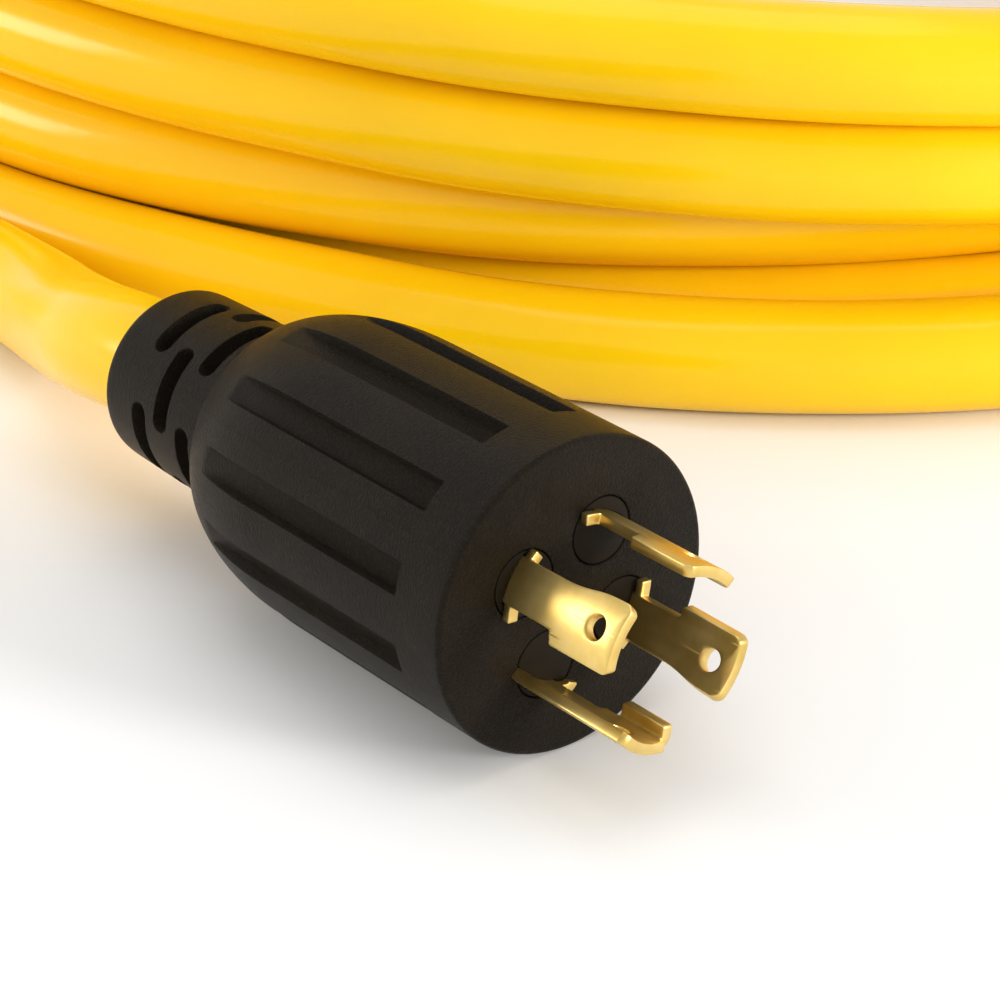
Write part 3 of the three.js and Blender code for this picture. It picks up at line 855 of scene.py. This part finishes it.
def jacket_material():
    """Extruded yellow jacket: satin, with faint drawing marks, dull patches and a few scuffs."""
    n = Nodes("yellow_jacket")
    patches = n.noise(30, 4)
    fine = n.noise(1400, 3)
    colour = n.ramp(patches, (0.94, 0.57, 0.0025), (0.99, 0.605, 0.0045), 0.35, 0.65)
    scuff = n.between(n.noise(420, 6, 0.7), 0.0, 0.35, 0.66, 0.78)
    colour = n.mixed(scuff, colour, (0.95, 0.72, 0.20))
    roughness = n.math("ADD", n.between(n.noise(90, 4), 0.16, 0.23), n.between(scuff, 0.0, 0.2))
    normal = n.bump(fine, 0.12, 0.00008)
    normal = n.bump(n.noise(260, 3), 0.10, 0.0004, normal)
    return n.finish(Base_Color=colour, Roughness=roughness, Normal=normal, Specular_IOR_Level=0.3,
                    Subsurface_Weight=0.05, Subsurface_Scale=0.002)


def insulation_material(name, low, high):
    """Thin glossy insulation on one core."""
    n = Nodes(f"insulation_{name}")
    tone = n.noise(120, 3)
    normal = n.bump(n.noise(700, 3), 0.15, 0.0001)
    colour, roughness = n.ramp(tone, low, high), n.between(tone, 0.25, 0.4)
    return n.finish(Base_Color=colour, Roughness=roughness, Normal=normal)


def inner_mould_material():
    """Grey pre-mould with a matte, slightly uneven skin."""
    n = Nodes("inner_mould")
    tone = n.noise(90, 4)
    normal = n.bump(n.noise(900, 4), 0.4, 0.00015)
    colour = n.ramp(tone, (0.30, 0.285, 0.26), (0.40, 0.38, 0.35))
    return n.finish(Base_Color=colour, Roughness=0.62, Normal=normal)


def filler_material():
    """Twisted jute between the cores."""
    n = Nodes("jute_filler")
    fibres = n.noise(1600, 5, 0.7, n.stretched((0.15, 1, 1)))
    colour = n.ramp(fibres, (0.42, 0.33, 0.19), (0.75, 0.65, 0.45))
    return n.finish(Base_Color=colour, Roughness=0.9, Normal=n.bump(fibres, 0.9, 0.0003))


def floor_material():
    n = Nodes("studio_paper")
    tone = n.noise(6, 2)
    return n.finish(Base_Color=n.ramp(tone, (0.94, 0.94, 0.94), (0.96, 0.96, 0.96)), Roughness=0.9)


CORE_TONES = {
    "neutral": ((0.74, 0.72, 0.67), (0.84, 0.82, 0.77)),
    "hot_x": ((0.012, 0.012, 0.013), (0.022, 0.022, 0.024)),
    "ground": ((0.02, 0.20, 0.05), (0.04, 0.28, 0.08)),
    "hot_y": ((0.42, 0.02, 0.015), (0.55, 0.035, 0.025)),
}


# ---- putting it together ----
def end_matrix(mount):
    """The pose of a cable end, from the record's mount on its face."""
    found = next(m for m in frame["record"]["mounts"] if m["name"] == mount)
    x_axis = Vector(found["axis"]).normalized()
    z_axis = Vector((0, 0, 1))
    y_axis = z_axis.cross(x_axis)
    rotation = Matrix((x_axis, y_axis, z_axis)).transposed().to_4x4()
    return Matrix.Translation(found["pos_m"]) @ rotation


def paint(obj, material):
    obj.data.materials.clear()
    obj.data.materials.append(material)
    return obj


def settle(piece, pose, material, replaced):
    """Moves a finished piece to its place and ties it to the frame."""
    piece.data.transform(pose)
    paint(piece, material)
    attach(piece, "root")
    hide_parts(replaced)
    return piece


def repaint(node, material):
    obj = NODES[node]
    if not obj.material_slots:
        obj.data.materials.append(material)
        return
    for material_slot in obj.material_slots:
        material_slot.link = "OBJECT"
        material_slot.material = material


def paint_inner_pieces(end, materials):
    """The CAD pieces that stay: what is inside a cable end."""
    repaint(f"{end}_inner_mould", materials["inner_mould"])
    repaint(f"{end}_jacket_end", materials["jacket"])
    repaint(f"{end}_cable_filler", materials["filler"])
    for role in ROLES:
        repaint(f"{end}_core_{role}", materials[role])
        repaint(f"{end}_conductor_{role}", materials["copper"])


def make_materials():
    materials = {
        "overmould": overmould_material(),
        "carrier": carrier_material(),
        "brass": brass_material(),
        "copper": copper_material(),
        "jacket": jacket_material(),
        "inner_mould": inner_mould_material(),
        "filler": filler_material(),
    }
    for role, (low, high) in CORE_TONES.items():
        materials[role] = insulation_material(role, low, high)
    return materials


def make_plug(pose, materials):
    settle(plug_overmould(), pose, materials["overmould"], "plug_overmould")
    settle(blade_carrier(), pose, materials["carrier"], "plug_blade_carrier")
    for role, angle in zip(ROLES, BLADE_ANGLES):
        settle(blade(role, angle), pose, materials["brass"], f"plug_blade_{role}")
    paint_inner_pieces("plug", materials)


def make_connector(pose, materials):
    """The connector's pieces, which all lie on the cable's far end."""
    grip = settle(connector_overmould(), pose, materials["overmould"], "connector_overmould")
    insert = settle(face_insert(), pose, materials["carrier"], "connector_face_insert")
    for role in ROLES:
        repaint(f"connector_contact_{role}", materials["brass"])
    paint_inner_pieces("connector", materials)
    replaced = ("connector_overmould", "connector_face_insert")
    kept = [name for name in NODES if name.startswith("connector_") and name not in replaced]
    return [grip, insert, *(NODES[name] for name in kept)]


def make_cable(connector_pose, on_it, materials):
    path = cable_route(connector_pose)
    cable = tube("cable", path, CABLE_R * MM, CABLE_SIDES)
    paint(cable, materials["jacket"])
    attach(cable, "root")
    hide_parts("cable_lead", "cable_coil", "cable_top_turn")


# ---- the studio ----
FLOOR_HALF = 4000  # half of the floor's side
# The sky is bright all round and dimmer overhead, by the height of the direction looked in.
SKY = {"From Min": 0.15, "From Max": 0.75, "To Min": 0.96, "To Max": 0.62}
SOFTBOXES = (  # name, place, aim and size in metres, power in watts, colour
    ("softbox_top", (-0.25, 0.15, 1.5), (-0.05, 0.05, 0), (1.2, 1.2), 5.5, (1, 1, 1)),
    ("softbox_right", (1.05, 0.43, 0.36), (-0.05, 0, 0), (0.3, 0.3), 9, (1, 1, 1)),
    ("softbox_left", (-0.72, -0.65, 0.32), (0, 0, 0.03), (0.4, 0.3), 3.2, (1, 0.94, 0.84)),
)


def area_light(name, location, aim, size, power, colour):
    data = bpy.data.lights.new(name, "AREA")
    data.shape = "RECTANGLE"
    data.size, data.size_y = size
    data.energy = power
    data.color = colour
    light = bpy.data.objects.new(name, data)
    bpy.context.scene.collection.objects.link(light)
    light.location = location
    light.rotation_euler = (Vector(aim) - Vector(location)).to_track_quat("-Z", "Y").to_euler()


def make_floor():
    corners = [(FLOOR_HALF * i, FLOOR_HALF * j, 0) for i, j in ((-1, -1), (1, -1), (1, 1), (-1, 1))]
    floor = add_object("studio_floor", corners, [(0, 1, 2, 3)])
    paint(floor, floor_material())


def make_sky():
    world = bpy.data.worlds.new("studio")
    world.use_nodes = True
    nodes, links = world.node_tree.nodes, world.node_tree.links
    height = nodes.new("ShaderNodeSeparateXYZ")
    strength = nodes.new("ShaderNodeMapRange")
    links.new(nodes.new("ShaderNodeTexCoord").outputs["Generated"], height.inputs["Vector"])
    links.new(height.outputs["Z"], strength.inputs["Value"])
    for name, value in SKY.items():
        strength.inputs[name].default_value = value
    nodes["Background"].inputs["Color"].default_value = (1, 1, 1, 1)
    links.new(strength.outputs["Result"], nodes["Background"].inputs["Strength"])
    bpy.context.scene.world = world


def make_studio():
    make_floor()
    make_sky()
    bpy.context.scene.view_settings.view_transform = "Standard"
    for softbox in SOFTBOXES:
        area_light(*softbox)


place_camera()
MATERIALS = make_materials()
PLUG_POSE = end_matrix("plug_face")
CONNECTOR_POSE = end_matrix("connector_face")
make_cable(CONNECTOR_POSE, make_connector(CONNECTOR_POSE, MATERIALS), MATERIALS)
make_plug(PLUG_POSE, MATERIALS)
make_studio()
